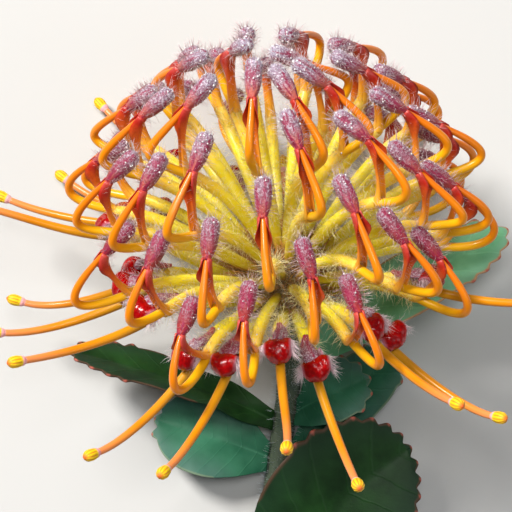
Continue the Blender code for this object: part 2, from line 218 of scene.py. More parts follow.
# Stem. A woody green-grey shoot 5 to 7 mm thick, with pale hairs that grow longer towards the head. It bends
# down from the head on to the table and lies there to its cut end, where the pale wood and the pith show.
STEM_RADIUS = 2.7
STEM_FLARE = 1.25
FLARE_STEPS = 12
STEM_TOP = -26.2
STEM_LIES_FROM = np.array([2.4, -20.0, 2.705])
STEM_RUN = 73.4
STEM_SIDES = 28
NECK_PULL = 26
LANDING_PULL = (0, 24, 0)
CUT_WIDTHS = np.array([0.97, 0.62, 0.25, 0.05])
CUT_DEPTHS = np.array([0.25, 0.28, 0.22, 0.18])
CUT_MARKS = (0.06, 0.4, 0.8, 1.0)
STEM_HAIRS = 2600
LONG_HAIR_RUN = 22
HAIR_KNEE = 0.55
HAIR_CLEARANCE = 0.3


def curve(start, leave, enter, end, count):
    """Points along a smooth curve between start and end, which leave and enter pull out."""
    t = np.linspace(0, 1, count)[:, None]
    return start * (1 - t) ** 3 + leave * 3 * t * (1 - t) ** 2 + enter * 3 * t**2 * (1 - t) + end * t**3


def ring_angles(sides):
    return np.linspace(0, 2 * pi, sides, endpoint=False)


def square_to(path, across):
    """The ways up and to the side, square to a path at each of its points."""
    along = unit(np.gradient(path, axis=0))
    side = unit(across - along * (along @ across)[:, None])
    return np.cross(side, along), side


def rings_on(path, out, across, sides, flat=1.0):
    """Rings of points round a path. out is the radius, one for each ring or one for each of its points."""
    up, side = square_to(path, across)
    turn = ring_angles(sides)
    spoke = up[:, None] * np.cos(turn)[:, None] * flat + side[:, None] * np.sin(turn)[:, None]
    out = np.broadcast_to(np.reshape(out, (len(path), -1)), (len(path), sides))
    return path[:, None] + spoke * out[..., None]


def skin(rings, count, share, chance):
    """Random places on a loft's wall between two shares of its length, with the ways out and along there."""
    steps, sides, _ = rings.shape
    row = chance.uniform(*share, count) * (steps - 1)
    spoke = chance.uniform(0, sides, count)
    i = np.minimum(row.astype(int), steps - 2)
    j = spoke.astype(int) % sides
    k = (j + 1) % sides
    a, b, c, d = rings[i, j], rings[i, k], rings[i + 1, k], rings[i + 1, j]
    s = (row - i)[:, None]
    t = (spoke % 1)[:, None]
    place = (a * (1 - t) + b * t) * (1 - s) + (d * (1 - t) + c * t) * s
    return place, unit(np.cross(b - a + c - d, d - a + c - b)), unit(d - a + c - b)


class Mould:
    """Gathers closed shells into one mesh. It poses them in bloom, unless their points lie in place.

    Marks are numbers on its points, which its finish reads.
    """

    def __init__(self, chance=None, pose=in_bloom):
        self.pose = pose or (lambda points: points)
        self.chance = chance
        self.points = []
        self.faces = []
        self.marks = {}
        self.size = 0

    def shell(self, points, faces, **marks):
        for corners in faces:
            self.faces += (corners + self.size).tolist()
        points = self.pose(points)
        points[:, 2] = np.maximum(points[:, 2], 0)
        self.points.append(points)
        self.size += len(points)
        for name, values in marks.items():
            self.marks.setdefault(name, []).append(np.broadcast_to(values, len(points)))

    def loft(self, rings, clockwise=False, **marks):
        """Walls between rings of points, and two caps. A mark is one number, or one for each ring or point.

        Most rings run anticlockwise, seen from the last.
        """
        count, sides, _ = rings.shape
        grid = np.arange(count * sides).reshape(count, sides)
        beside = np.roll(grid, -1, axis=1)
        walls = [grid[:-1], beside[:-1], beside[1:], grid[1:]]
        caps = np.array([grid[0, ::-1], grid[-1]])
        if clockwise:
            walls = [walls[0], *walls[:0:-1]]
            caps = caps[:, ::-1]
        marks.setdefault("along", np.linspace(0, 1, count))
        for name, value in marks.items():
            if np.size(value) != count * sides:
                marks[name] = np.broadcast_to(np.reshape(value, (-1, 1)), (count, sides)).ravel()
        self.shell(rings.reshape(-1, 3), [np.stack(walls, -1).reshape(-1, 4), caps], **marks)

    def bristles(self, place, way, length, width, droop):
        """Closed three-sided hairs, bent over by droop, apart from those that would reach into the table."""
        clear = self.pose(place + way * length[:, None])[:, 2] > HAIR_CLEARANCE
        place, way, length = place[clear], way[clear], length[clear, None]
        count = len(place)
        side = unit(np.cross(way, self.chance.normal(size=(count, 3))))
        other = np.cross(way, side)
        bend = unit(side + other * self.chance.uniform(-1, 1, (count, 1))) * length * droop
        root = (-width / length, 0, 1)
        rings = (root, (HAIR_KNEE, 0.3, 0.75)) if droop else (root,)
        points = []
        for share, bent, thick in rings:
            for n in range(3):
                turn = 2 * pi * n / 3
                spoke = (side * cos(turn) + other * sin(turn)) * width / 2
                points.append(place + way * length * share + bend * bent + spoke * thick)
        points.append(place + way * length + bend)
        first = np.arange(count)[:, None, None] * len(points)
        top = 3 * (len(rings) - 1)
        ends = first + np.array([[0, 2, 1]] + [[top + n, top + (n + 1) % 3, top + 3] for n in range(3)])
        faces = [ends.reshape(-1, 3)]
        if droop:
            walls = first + np.array([[n, (n + 1) % 3, (n + 1) % 3 + 3, n + 3] for n in range(3)])
            faces.append(walls.reshape(-1, 4))
        along = np.tile([0] * 3 + [HAIR_KNEE] * top + [1.0], count)
        own = np.repeat(self.chance.uniform(0, 1, count), len(points))
        self.shell(np.stack(points, 1).reshape(-1, 3), faces, along=along, own=own)

    def hairs(self, rings, count, share, length, width, lift=1, lean=0, toward=0, scatter=0, droop=0):
        """Plants hairs on part of a loft. lift and lean are how much they point out of it and along it."""
        place, out, along = skin(rings, count, share, self.chance)
        way = out * lift + along * lean + toward
        if scatter:
            way = way + self.chance.normal(0, scatter, out.shape)
        self.bristles(place, unit(way), self.chance.uniform(*length, count), width, droop)

    def cast(self, name, finish, slot="floret", node="flower_head", crisp=None):
        """Makes the piece, which rides on the one body and stands for node. Most are the flower head's."""
        mesh = bpy.data.meshes.new(name)
        mesh.from_pydata((np.concatenate(self.points) * MM).tolist(), [], self.faces)
        for mark, values in self.marks.items():
            layer = mesh.attributes.new(mark, "FLOAT", "POINT")
            layer.data.foreach_set("value", np.concatenate(values).astype(np.float32))
        mesh.shade_smooth()
        if crisp:
            mesh.set_sharp_from_angle(angle=radians(crisp))
        mesh.materials.append(finish)
        piece = add_item(name, mesh)
        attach(piece, "root")
        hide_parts(node)


def bark_finish():
    finish = Finish("stem bark", Roughness=0.62)
    ridges = finish.grain(1.1, 3.0, (1.0, 0.12, 1.0))
    blotches = finish.grain(9.0)
    bark = (blotches * 0.6 + ridges * 0.4).ramp(
        (0.3, (0.04, 0.06, 0.038)), (0.5, (0.072, 0.105, 0.066)), (0.7, (0.12, 0.15, 0.095)),
    )
    cut = finish.mark("cut")
    wood = cut.ramp((0.0, (0.1, 0.14, 0.07)), (0.5, (0.46, 0.5, 0.28)), (1.0, (0.62, 0.6, 0.42)))
    finish.relief(ridges, 0.25)
    return finish.coat(Base_Color=cut.step(0.01, 0.05).blend(bark, wood))


def hair_finish(name, root, tip, roughness=0.4):
    finish = Finish(name, Roughness=roughness, Sheen_Weight=0.3)
    colour = finish.mark("along").blend(root, tip)
    shade = (finish.mark("own") * 0.35).blend(colour, tip)
    return finish.coat(Base_Color=shade)


top = in_bloom([0, 0, STEM_TOP])
neck = top - BLOOM_TURN[:, 2] * NECK_PULL
bend = curve(top, neck, STEM_LIES_FROM + LANDING_PULL, STEM_LIES_FROM, count=48)
run = STEM_LIES_FROM - np.outer(np.linspace(0, STEM_RUN, 40)[1:], [0, 1, 0])
stem_path = np.concatenate([bend, run])
steps = np.arange(len(stem_path))
swell = 1 + (STEM_FLARE - 1) * np.clip(1 - steps / FLARE_STEPS, 0, 1) + 0.03 * np.sin(steps * 0.9)
radius = STEM_RADIUS * np.minimum(swell, STEM_FLARE)
stem_rings = rings_on(stem_path, radius, [1, 0, 0], STEM_SIDES)
cut_rings = stem_path[-1] + (stem_rings[-1] - stem_path[-1]) * CUT_WIDTHS[:, None, None]
cut_rings[:, :, 1] -= CUT_DEPTHS[:, None]
cut = np.concatenate([np.zeros(len(stem_rings)), CUT_MARKS])
stem = Mould(pose=None)
stem.loft(np.concatenate([stem_rings, cut_rings]), cut=cut)
stem.cast("stem_wood", bark_finish(), "stem", "stem", crisp=60)

stem_hair = Mould(default_rng(11), pose=None)
place, out, along = skin(stem_rings, STEM_HAIRS, (0.0, 0.98), stem_hair.chance)
near_head = np.clip((place[:, 1] - STEM_LIES_FROM[1]) / LONG_HAIR_RUN, 0, 1)
length = stem_hair.chance.uniform(0.5, 1.3, STEM_HAIRS) * (1 + 1.2 * near_head)
stem_hair.bristles(place, unit(out - along * 0.2), length, width=0.08, droop=0.2)
stem_hair.cast("stem_hairs", hair_finish("stem hair", (0.34, 0.4, 0.4), (0.72, 0.8, 0.86)), "stem", "stem")

# Leaves. Stiff leathery blades 0.8 mm thick that sit on the stem with no stalk and are broadest past their
# middle. They are grey-green under a haze of wax, and end in a few blunt, red-edged teeth. The darkest blades
# are that leaf with painted shade, and the brightest one is it with painted light.
LEAF_THICKNESS = 0.8
LEAF_SHOULDER = 0.55
LEAF_SEAT = 0.35
LEAF_WIDEST = 0.58
LEAF_FOOT_SHARE = 0.34
LEAF_COLUMNS = 25
LEAF_WAVE = 0.35
RIB_HALF = 0.7
RIB_GROOVE = 0.22
RIB_KEEL = 0.35
RIB_STAIN = 0.5
TOOTH_HEIGHT = 1.1
TOOTH_SPACING = 3.6
VEINS = 7
VEIN_SLANT = 1.3
TOOTH_RED = (0.4, 0.1, 0.07)


def stem_at(distance):
    """The stem's centre, and the direction towards the head, this far from its top."""
    gone = np.concatenate([[0], np.cumsum(np.linalg.norm(np.diff(stem_path, axis=0), axis=1))])
    centre = np.array([np.interp(distance, gone, axis) for axis in stem_path.T])
    beyond = np.array([np.interp(distance + 0.5, gone, axis) for axis in stem_path.T])
    return centre, unit(centre - beyond)


def leaf_margin(teeth, length, width):
    """Half an outline from foot to tip, in shares of half width and length, with its teeth and their red."""
    low = np.linspace(0, LEAF_WIDEST, 18, endpoint=False)
    turn = np.linspace(0, pi / 2, 90)
    x = np.concatenate([
        LEAF_FOOT_SHARE + (1 - LEAF_FOOT_SHARE) * np.sin(pi / 2 * low / LEAF_WIDEST) ** 1.3,
        np.cos(turn),
    ])
    y = np.concatenate([low, LEAF_WIDEST + (1.01 - LEAF_WIDEST) * np.sin(turn) ** 0.77])
    run = np.concatenate([[0], np.cumsum(np.hypot(np.diff(x) * width / 2, np.diff(y) * length))])
    from_tip = run[-1] - run
    here = np.clip((teeth + 0.4) * TOOTH_SPACING - from_tip, 0, 1)
    point = np.abs((from_tip / TOOTH_SPACING) % 1 - 0.5) * 2
    return x, y, here * np.sin(pi / 2 * point) ** 1.4, here * point**1.5


def leaf_finish(kind, dark, light, haze, rim):
    finish = Finish(
        f"{kind} leaf", Roughness=0.48, Specular_IOR_Level=0.15, Coat_Weight=0.03, Coat_Roughness=0.3
    )
    clouds = finish.grain(7.0, 3.0)
    pores = finish.grain(0.5, 2.0)
    rib = finish.mark("rib").step(0.55, 1.0)
    slope = finish.mark("reach") * VEINS - finish.mark("side") * VEIN_SLANT
    ripple = finish.node("ShaderNodeMath", {"operation": "PINGPONG"}, {0: slope + clouds * 0.35, 1: 0.5})
    veins = ripple.step(0.07, 0.0)
    blade = clouds.step(0.25, 0.75).blend(dark, light)
    margin = finish.mark("margin")
    waxed = (margin.step(0.25, 1.0) * (clouds * 0.7 + 0.25)).blend(blade, haze)
    veined = (veins * 0.12 + rib * 0.45).blend(waxed, tuple(1.5 * share + 0.008 for share in light))
    edged = (margin.step(0.93, 0.98) * 0.8).blend(veined, rim)
    colour = finish.mark("tooth").step(0.45, 0.85).blend(edged, TOOTH_RED)
    finish.relief(pores * 0.25 + veins * 0.5 + rib * 0.4, 0.12)
    return finish.coat(Base_Color=colour)


def make_leaf(number, kind, distance, tip, face, width, arch, bow=0.0, fold=10.0, teeth=5):
    """A blade from its place on the stem to its tip, which is measured from the point under the head.

    arch and bow are how far its rib stands off the straight line, upwards and to its right, and fold is the
    angle that lifts its margins; face is the way that its upper side looks.
    """
    chance = default_rng(100 + number)
    centre, forward = stem_at(distance)
    tip = BLOOM_PLACE * [1, 1, 0] + tip
    out = unit(tip - centre) + [0, 0, LEAF_SHOULDER]
    out = unit(out - forward * (out @ forward))
    base = centre + out * (STEM_RADIUS + 0.35)
    face = unit(face)
    middle = base * 0.55 + tip * 0.45 + face * arch + unit(np.cross(tip - base, face)) * bow
    flat = unit(np.cross(middle - base, forward))
    flat *= copysign(1, flat @ face)

    length = np.linalg.norm(tip - base)
    x, y, tooth, red = leaf_margin(teeth, length, width)
    v = np.linspace(-1, 1, LEAF_COLUMNS)
    v = np.sign(v) * (1 - (1 - np.abs(v)) ** 1.35)
    edge = np.abs(v)
    rib_y = y - 0.13 * np.sin(pi * np.clip(y, 0, 1))
    rows_y = rib_y[:, None] + (y - rib_y)[:, None] * edge**1.3
    rows_y = rows_y + np.outer(tooth * (1 - x**2), edge**8) * TOOTH_HEIGHT / length
    rows_x = np.outer(x, v) * width / 2 + np.outer(tooth * x, np.sign(v) * edge**8) * TOOTH_HEIGHT

    t = rows_y[..., None]
    line = base * (1 - t) ** 2 + middle * 2 * t * (1 - t) + tip * t**2
    rib_way = unit((middle - base) * (1 - t) + (tip - middle) * t)
    seat = np.maximum(0, 1 - t / LEAF_SEAT)
    normal = face * (1 - seat) + flat * seat
    normal = unit(normal - rib_way * np.sum(normal * rib_way, -1, keepdims=True))
    across = np.cross(rib_way, normal)
    aside = rib_way - forward * (rib_way @ forward)[..., None]
    slant = rib_way * (-np.sum(across * aside, -1) / np.sum(rib_way * aside, -1))[..., None] * seat
    lift = radians(fold)
    half = np.abs(rows_x)[..., None]
    place = line + (across + slant) * rows_x[..., None] * cos(lift) + normal * half * sin(lift)
    fading = np.sin(pi * np.clip(rows_y, 0, 1))
    wave = np.sin(rows_y * 17 + np.sign(v) * chance.uniform(0.5, 3)) * edge**3 * fading
    place = place + normal * (wave * LEAF_WAVE)[..., None]
    groove = np.exp(-((rows_x / RIB_HALF) ** 2)) * np.clip(1 - rows_y * 0.7, 0, 1)
    thick = LEAF_THICKNESS * (0.5 - 0.22 * edge**4)
    upper = place + normal * (thick - RIB_GROOVE * groove)[..., None]
    lower = place - normal * (thick + RIB_KEEL * groove)[..., None]

    under = rows_y.size
    grid = np.arange(under).reshape(rows_y.shape)
    top_faces = np.stack([grid[:-1, :-1], grid[:-1, 1:], grid[1:, 1:], grid[1:, :-1]], -1).reshape(-1, 4)
    rim = np.concatenate([grid[0, :-1], grid[:-1, -1], grid[-1, :0:-1], grid[:0:-1, 0]])
    beside = np.roll(rim, -1)
    rim_faces = np.stack([beside, rim, rim + under, beside + under], -1)

    marks = {
        "rib": np.exp(-((rows_x / RIB_STAIN) ** 2)) * np.clip(1.1 - rows_y, 0, 1),
        "reach": rows_y,
        "side": np.abs(rows_x) / (width / 2),
        "margin": np.broadcast_to(edge, rows_y.shape) * np.clip((rows_y - 0.1) * 3, 0, 1),
        "tooth": np.outer(red, edge**10),
    }
    blade = Mould(pose=None)
    blade.shell(
        np.concatenate([upper, lower]).reshape(-1, 3),
        [top_faces, top_faces[:, ::-1] + under, rim_faces],
        **{name: np.tile(values.ravel(), 2) for name, values in marks.items()},
    )
    blade.cast(f"blade_{number:02d}", leaf_skins[kind], f"leaf_{kind}", f"leaf_{number:02d}")


# One grey-green leaf three times over: the darkest colours are painted shade, the brightest painted light.
LEAF_COLOURS = {
    "dark": ((0.004, 0.021, 0.004), (0.013, 0.056, 0.011), (0.01, 0.03, 0.016), (0.09, 0.045, 0.028)),
    "pale": ((0.015, 0.1, 0.052), (0.036, 0.16, 0.09), (0.075, 0.15, 0.13), (0.16, 0.22, 0.14)),
    "painted_lit": ((0.12, 0.38, 0.19), (0.21, 0.52, 0.29), (0.19, 0.38, 0.27), (0.5, 0.22, 0.11)),
}
leaf_skins = {kind: leaf_finish(kind, *colours) for kind, colours in LEAF_COLOURS.items()}
make_leaf(1, "dark", 30, (-46, -28, 17), (0.35, 0.7, 0.6), 13, 3, teeth=4)
make_leaf(2, "painted_lit", 13, (51, -1, 20), (-0.3, 0.3, 0.9), 16, 3, teeth=4)
make_leaf(3, "pale", 39, (-27, -43, 6), (0.2, 0.1, 0.97), 20, 3, teeth=1)
make_leaf(4, "pale", 27, (20, -34, 13), (-0.5, 0.0, 0.85), 15, 2.5, fold=14, teeth=2)
make_leaf(5, "dark", 74, (29, -50, 13), (0.15, -0.1, 0.97), 33, 4, bow=-11, fold=8, teeth=7)
make_leaf(6, "pale", 39, (27, -28, 5), (-0.2, 0.2, 0.95), 16, 2, teeth=2)
make_leaf(7, "dark", 89, (-36, -76, 8), (0.2, 0.1, 0.97), 26, 4)
make_leaf(8, "dark", 101, (34, -88, 8), (-0.2, 0.1, 0.97), 26, 4)
make_leaf(9, "dark", 114, (-30, -109, 8), (0.2, 0.1, 0.97), 24, 4)

# Bracts. Short pointed scales in two whorls on the swollen top of the stem, stiff and brown-green, and felted
# with silky hairs. They clasp the foot of the receptacle and are hidden from above.
BRACTS = 13
BRACT_FOOT_OUT = 4.0
BRACT_FOOT_UP = -25.3
BRACT_REACH = 7.2
BRACT_TIP_UP = -21.9
BRACT_HALF = 1.5
BRACT_RINGS = 12
RING_PROFILE = ((4.2, -25.9), (4.9, -25.2), (5.4, -24.3), (5.2, -23.8))


def polar(azimuth, out, up):
    """A point of the head from its azimuth, distance from the axis and height along it."""
    return np.array([out * cos(azimuth), out * sin(azimuth), up])


def turned(profile, sides):
    """Rings of (radius, height) pairs about the flower's axis, from the lowest up."""
    turn = ring_angles(sides)
    return np.array([[(r * cos(a), r * sin(a), z) for a in turn] for r, z in profile])


def bract_finish():
    finish = Finish("felted bract", Roughness=0.85, Sheen_Weight=0.5)
    felt = finish.grain(0.6, 3.0)
    colour = finish.mark("along").ramp(
        (0.0, (0.16, 0.15, 0.07)), (0.6, (0.22, 0.19, 0.09)), (1.0, (0.24, 0.12, 0.06)),
    )
    finish.relief(felt, 0.15)
    return finish.coat(Base_Color=(felt * 0.4).blend(colour, (0.42, 0.36, 0.22)))


bracts = Mould()
bract_hair = Mould(default_rng(23))
bracts.loft(turned(RING_PROFILE, sides=40))
for whorl, reach, start in ((0, 1.0, 0.0), (1, 0.9, 0.5)):
    for i in range(BRACTS):
        azimuth = 2 * pi * (i + start) / BRACTS
        across = polar(azimuth + pi / 2, 1, 0)
        foot = polar(azimuth, BRACT_FOOT_OUT, BRACT_FOOT_UP + 0.5 * whorl)
        tip = polar(azimuth, BRACT_FOOT_OUT + BRACT_REACH * reach, BRACT_TIP_UP + 1.2 * whorl)
        leave = foot + polar(azimuth, 2.6, 0.2)
        line = curve(foot, leave, tip - polar(azimuth, 2.2, 1.5), tip, BRACT_RINGS)
        half = BRACT_HALF * np.sin(pi * (0.28 + 0.7 * np.linspace(0, 1, BRACT_RINGS))) ** 0.8
        scale = rings_on(line, half, across, sides=14, flat=0.3)
        bracts.loft(scale)
        bract_hair.hairs(
            scale, 70, share=(0.05, 0.97), length=(0.5, 1.2), width=0.05, lift=0.7, lean=1, droop=0.2
        )
bracts.cast("bract_whorls", bract_finish(), "bract", "involucre")
straw_hair = hair_finish("bract hair", (0.5, 0.42, 0.26), (0.8, 0.76, 0.62))
bract_hair.cast("bract_hairs", straw_hair, "bract", "involucre")

# Receptacle. The low domed cushion that all the florets stand on, about 20 mm across. It is fleshy under a
# brown nap, and golden-brown silk fills the gaps between the florets' feet.
RECEPTACLE_RADIUS = 10.5
RECEPTACLE_TOP = 8.5
RECEPTACLE_RIM = -18.0
CUSHION_FOOT = ((5.0, -24.0), (6.4, -22.7), (7.6, -21.2), (9.2, -19.6))
CUSHION_RINGS = 16
CUSHION_STEP = 5.8


def cushion_finish():
    finish = Finish("receptacle", Roughness=0.8)
    nap = finish.grain(0.8, 3.0)
    finish.relief(nap, 0.3)
    return finish.coat(Base_Color=nap.blend((0.16, 0.1, 0.03), (0.38, 0.27, 0.08)))


cushion_profile = list(CUSHION_FOOT)
for step in range(CUSHION_RINGS):
    turn = radians(90 - CUSHION_STEP * step)
    up = RECEPTACLE_RIM + RECEPTACLE_TOP * cos(turn)
    cushion_profile.append((RECEPTACLE_RADIUS * sin(turn), up))
cushion_rings = turned(cushion_profile, sides=48)
cushion = Mould()
cushion.loft(cushion_rings)
cushion.cast("receptacle", cushion_finish())
silk = Mould(default_rng(31))
silk.hairs(cushion_rings, 4000, share=(0.2, 1.0), length=(3.0, 9.5), width=0.13, scatter=0.35, droop=0.35)
silk.cast("receptacle_silk", hair_finish("golden silk", (0.2, 0.065, 0.004), (0.62, 0.26, 0.012)))

# Florets. They stand on a golden-angle spiral over the dome. The inner ones are closed: the style has grown
# out of its tube in a bow, with its tip still held in the bud. The outer ones have let go of it, apart from
# those of one side, which opens last. Two young ones crowd in at the pole.
FLORETS = 68
FIRST_OPEN = 45
GOLDEN_ANGLE = pi * (3 - sqrt(5))
SPIRAL_START = radians(251.6)
SPIRAL_STEP = 0.01846
SPIRAL_OFFSET = 0.376
SPIRAL_SPREAD = 0.15
SPIRAL_LEANS = ((1, 4.6, 279), (2, 5.4, 73))
LATE_MIDDLE = radians(17.5)
LATE_HALF = radians(33)
LATE_GROWN = 57
POLE_FLORETS = ((radians(300), radians(12)), (radians(8), radians(8.5)))
ROOT_SINK = 0.9
ROOT_CROWDING = 0.85
LOWEST_ROOT = radians(92)
DOME_POLE = 40.5
DOME_RIM = 38.0
DOME_SIDE = radians(75)
MOUTH_OUT = 2.5
MOUTH_DOWN = 17.5
MOUTH_DRAW_IN = 7.5
MOUTH_RAISE = 4.5
MOUTH_BEND = 0.45
BUD_LENGTH = 8.6
BUD_TILT = radians(54)
BUD_WOBBLE = 0.1
STYLE_RADIUS = 0.95
STYLE_SUNK = 2.5
STYLE_INSIDE = 1.7
ROOT_PULL = 0.3
MOUTH_PULL = 0.35
OPEN_MOUTH_PULL = 0.3
CLAW_START = 3.0
CLAW_END = 3.0
LOOP_LEAVE = 15.0
LOOP_ENTER = 17.0
LOOP_WOBBLE = 2.0
LOOP_SWAY = 3.0
OPEN_SAG = radians(8)
BACK_SAG = radians(10)
OPEN_TURN = radians(-5)
STYLE_REACH = 64.0
STYLE_SWAY = 3.0
STYLE_LEAVE = 11
STYLE_ENTER = 9
TIP_LIFT = radians(6)
TIP_WOBBLE = radians(3)
TIP_LENGTH = 4.0
TIP_RISE = (0.92, 0.38)
CURL_RADIUS = 2.9
CURL_SINK = 1.5
CURL_STAND = 4.0
CURL_OFFSET = 0.92
CURL_REST = 0.72
FLOOR_EASE = 2.0
TUBE_RINGS = 22
CLAW_RINGS = 18
LOOP_RINGS = 44
FREED_RINGS = 40
KNOB_RINGS = 22

growth = random.Random(7)


def spiral_place(k):
    """Where floret k stands: its azimuth round the flower's axis, and its bud's angle from that axis.

    A lean is how many sides it pushes out, by how many degrees, and the azimuth of one of them.
    """
    q = (k + SPIRAL_OFFSET) * SPIRAL_STEP
    angle = acos(1 - q * (1 + SPIRAL_SPREAD * (q - 0.6)))
    azimuth = SPIRAL_START - k * GOLDEN_ANGLE
    lean = 0
    for sides, most, place in SPIRAL_LEANS:
        lean += radians(most) * cos(sides * (azimuth - radians(place)))
    return azimuth, angle + lean * sin(angle)


class Floret:
    """A floret's root, and the directions across it, out of the dome and towards its pole."""

    def __init__(self, azimuth, angle):
        self.angle = angle
        self.across = polar(azimuth + pi / 2, 1, 0)
        self.outward = polar(azimuth, sin(angle), cos(angle))
        self.poleward = polar(azimuth, -cos(angle), sin(angle))
        root_angle = min(ROOT_CROWDING * angle, LOWEST_ROOT)
        out = (RECEPTACLE_RADIUS - ROOT_SINK) * sin(root_angle)
        up = (RECEPTACLE_TOP - ROOT_SINK) * cos(root_angle)
        self.root = polar(azimuth, out, RECEPTACLE_RIM + up)
        self.root_way = polar(azimuth, sin(root_angle), cos(root_angle))

    def tube_to(self, mouth, way, pull):
        """The line of the tube from the root to its mouth, where it runs along way."""
        reach = np.linalg.norm(mouth - self.root)
        bend_in = self.root + self.root_way * reach * ROOT_PULL
        return curve(self.root, bend_in, mouth - way * reach * pull, mouth, TUBE_RINGS)


def wobble(most):
    return growth.uniform(-most, most)


def closed_floret(azimuth, angle):
    floret = Floret(azimuth, angle)
    tilt = BUD_TILT + wobble(BUD_WOBBLE)
    bud_way = polar(azimuth, -sin(tilt), cos(tilt))
    bud_way = unit(bud_way + floret.across * wobble(BUD_WOBBLE))
    dome = DOME_POLE + (DOME_RIM - DOME_POLE) * sin(angle) ** 2
    base = floret.outward * dome - bud_way * BUD_LENGTH / 2
    share = angle / DOME_SIDE
    draw_in = MOUTH_DRAW_IN * share**2.5
    mouth = base + polar(azimuth, MOUTH_OUT - draw_in, MOUTH_RAISE * share - MOUTH_DOWN)
    claw_way = unit(mouth - [0, 0, RECEPTACLE_RIM])
    tube_way = unit(claw_way - floret.poleward * MOUTH_BEND)
    floret.tube = floret.tube_to(mouth, tube_way, MOUTH_PULL)
    floret.claw = curve(mouth, mouth + claw_way * CLAW_START, base - bud_way * CLAW_END, base, CLAW_RINGS)

    leave = tube_way * (LOOP_LEAVE + wobble(LOOP_WOBBLE))
    enter = bud_way * (LOOP_ENTER + wobble(LOOP_WOBBLE))
    sway = floret.across * wobble(LOOP_SWAY)
    start = mouth - tube_way * STYLE_SUNK
    inside = base + bud_way * STYLE_INSIDE
    floret.style = curve(start, start + leave + sway, inside - enter + sway, inside, LOOP_RINGS)
    floret.base, floret.bud_way = base, bud_way
    return floret


def settled(points, rise):
    """Bends a path that would pass into the table so that it comes to lie along it."""
    lying = in_bloom(points)
    depth = lying[:, 2] - rise
    lying[:, 2] = rise + 0.5 * (depth + np.hypot(depth, FLOOR_EASE))
    return (lying - BLOOM_PLACE) @ BLOOM_TURN


def open_floret(azimuth, angle):
    azimuth += OPEN_TURN
    floret = Floret(azimuth, angle + OPEN_SAG + BACK_SAG * max(0, sin(azimuth)))
    curl_at = floret.outward * (DOME_RIM - CURL_SINK)
    mouth = curl_at - floret.outward * CURL_STAND - floret.poleward * CURL_OFFSET * CURL_RADIUS
    tip_angle = floret.angle - TIP_LIFT + wobble(TIP_WOBBLE)
    tip = polar(azimuth, sin(tip_angle), cos(tip_angle)) * STYLE_REACH
    tip = tip + floret.across * wobble(STYLE_SWAY)
    tip_way = unit(polar(azimuth, *TIP_RISE))
    floret.tube = settled(floret.tube_to(mouth, floret.outward, OPEN_MOUTH_PULL), STYLE_RADIUS)
    leave, enter = mouth + floret.outward * STYLE_LEAVE, tip - tip_way * STYLE_ENTER
    free = curve(mouth, leave, enter, tip, FREED_RINGS)
    floret.style = settled(np.concatenate([floret.tube[-3:-1], free]), STYLE_RADIUS)
    knob = tip + np.outer(np.linspace(-0.12, 1.02, KNOB_RINGS) * TIP_LENGTH, tip_way)
    floret.knob = settled(knob, STYLE_RADIUS + 0.2)
    floret.curl_at = settled(curl_at[None], CURL_REST * CURL_RADIUS)[0]
    return floret


closed, opened = [], []
for k in range(FLORETS):
    azimuth, angle = spiral_place(k)
    late = cos(azimuth - LATE_MIDDLE) > cos(LATE_HALF)
    if k < FIRST_OPEN or (late and k < LATE_GROWN):
        closed.append(closed_floret(azimuth, angle))
    elif not late:
        opened.append(open_floret(azimuth, angle))
closed += [closed_floret(azimuth, angle) for azimuth, angle in POLE_FLORETS]

# Perianth tubes. Four petals joined edge to edge into a firm fleshy tube, 3 mm thick at its mouth. It is
# yellow, and olive at its foot, where painted shade darkens it to brown deep among the florets. It is thickly
# set with pale glistening hairs, short and long.
TUBE_ROOT_RADIUS = 1.0
CLOSED_TUBE_RADIUS = 1.35
OPEN_TUBE_RADIUS = 1.62
TUBE_SIDES = 16
TUBE_LIP = ((0.97, 0.22), (0.86, 0.32), (0.74, 0.15), (0.7, -0.8), (0.66, -2.0))
LIP_SHARES = (0.96, 0.97, 0.98, 0.99, 1.0)


def grooved(sides, grooves, depth, sharp=1):
    """How far out each point of a ring stands, as a share, where grooves run along its wall."""
    return 1 - depth * np.abs(np.cos(grooves / 2 * ring_angles(sides))) ** sharp


def tube_finish():
    finish = Finish(
        "perianth tube", Roughness=0.38, Specular_IOR_Level=0.35, Coat_Weight=0.2, Coat_Roughness=0.2,
        Subsurface_Weight=0.35, Subsurface_Radius=(1.0, 0.75, 0.08), Subsurface_Scale=0.0015,
    )
    dew = finish.grain(1.4)
    fine = finish.grain(0.3)
    # The dark brown foot is the tube's own olive with painted shade over it.
    colour = finish.mark("along").ramp(
        (0.0, (0.34, 0.22, 0.015)), (0.25, (0.8, 0.7, 0.02)), (0.65, (0.94, 0.78, 0.025)),
        (0.95, (0.86, 0.5, 0.05)),
    )
    pale = (dew.step(0.35, 0.75) * 0.3).blend(colour, (0.92, 0.84, 0.3))
    finish.relief(dew * 0.3 + fine * 0.7, 0.14)
    return finish.coat(Base_Color=pale)


chance = default_rng(41)
tubes = Mould()
tube_down = Mould(chance)
tube_hair = Mould(chance)
seams = grooved(TUBE_SIDES, grooves=4, depth=0.035, sharp=6)
steps = np.linspace(0, 1, TUBE_RINGS)
for floret in closed + opened:
    wide = CLOSED_TUBE_RADIUS if floret in closed else OPEN_TUBE_RADIUS
    radius = TUBE_ROOT_RADIUS + (wide - TUBE_ROOT_RADIUS) * np.minimum(1, steps * 1.3) ** 0.8
    walls = rings_on(floret.tube, np.outer(radius, seams), floret.across, TUBE_SIDES)
    mouth = floret.tube[-1]
    way = unit(mouth - floret.tube[-2])
    lip = [mouth + (walls[-1] - mouth) * share + way * ahead for share, ahead in TUBE_LIP]
    tubes.loft(np.concatenate([walls, lip]), along=np.concatenate([steps * 0.95, LIP_SHARES]))
    tube_down.hairs(walls, 260, share=(0.34, 0.99), length=(0.4, 1.3), width=0.08, lean=0.5, scatter=0.4)
    tube_hair.hairs(
        walls, 120, share=(0.36, 0.99), length=(1.6, 3.8), width=0.08, lean=0.3, scatter=0.4, droop=0.3
    )
tubes.cast("perianth_tubes", tube_finish())
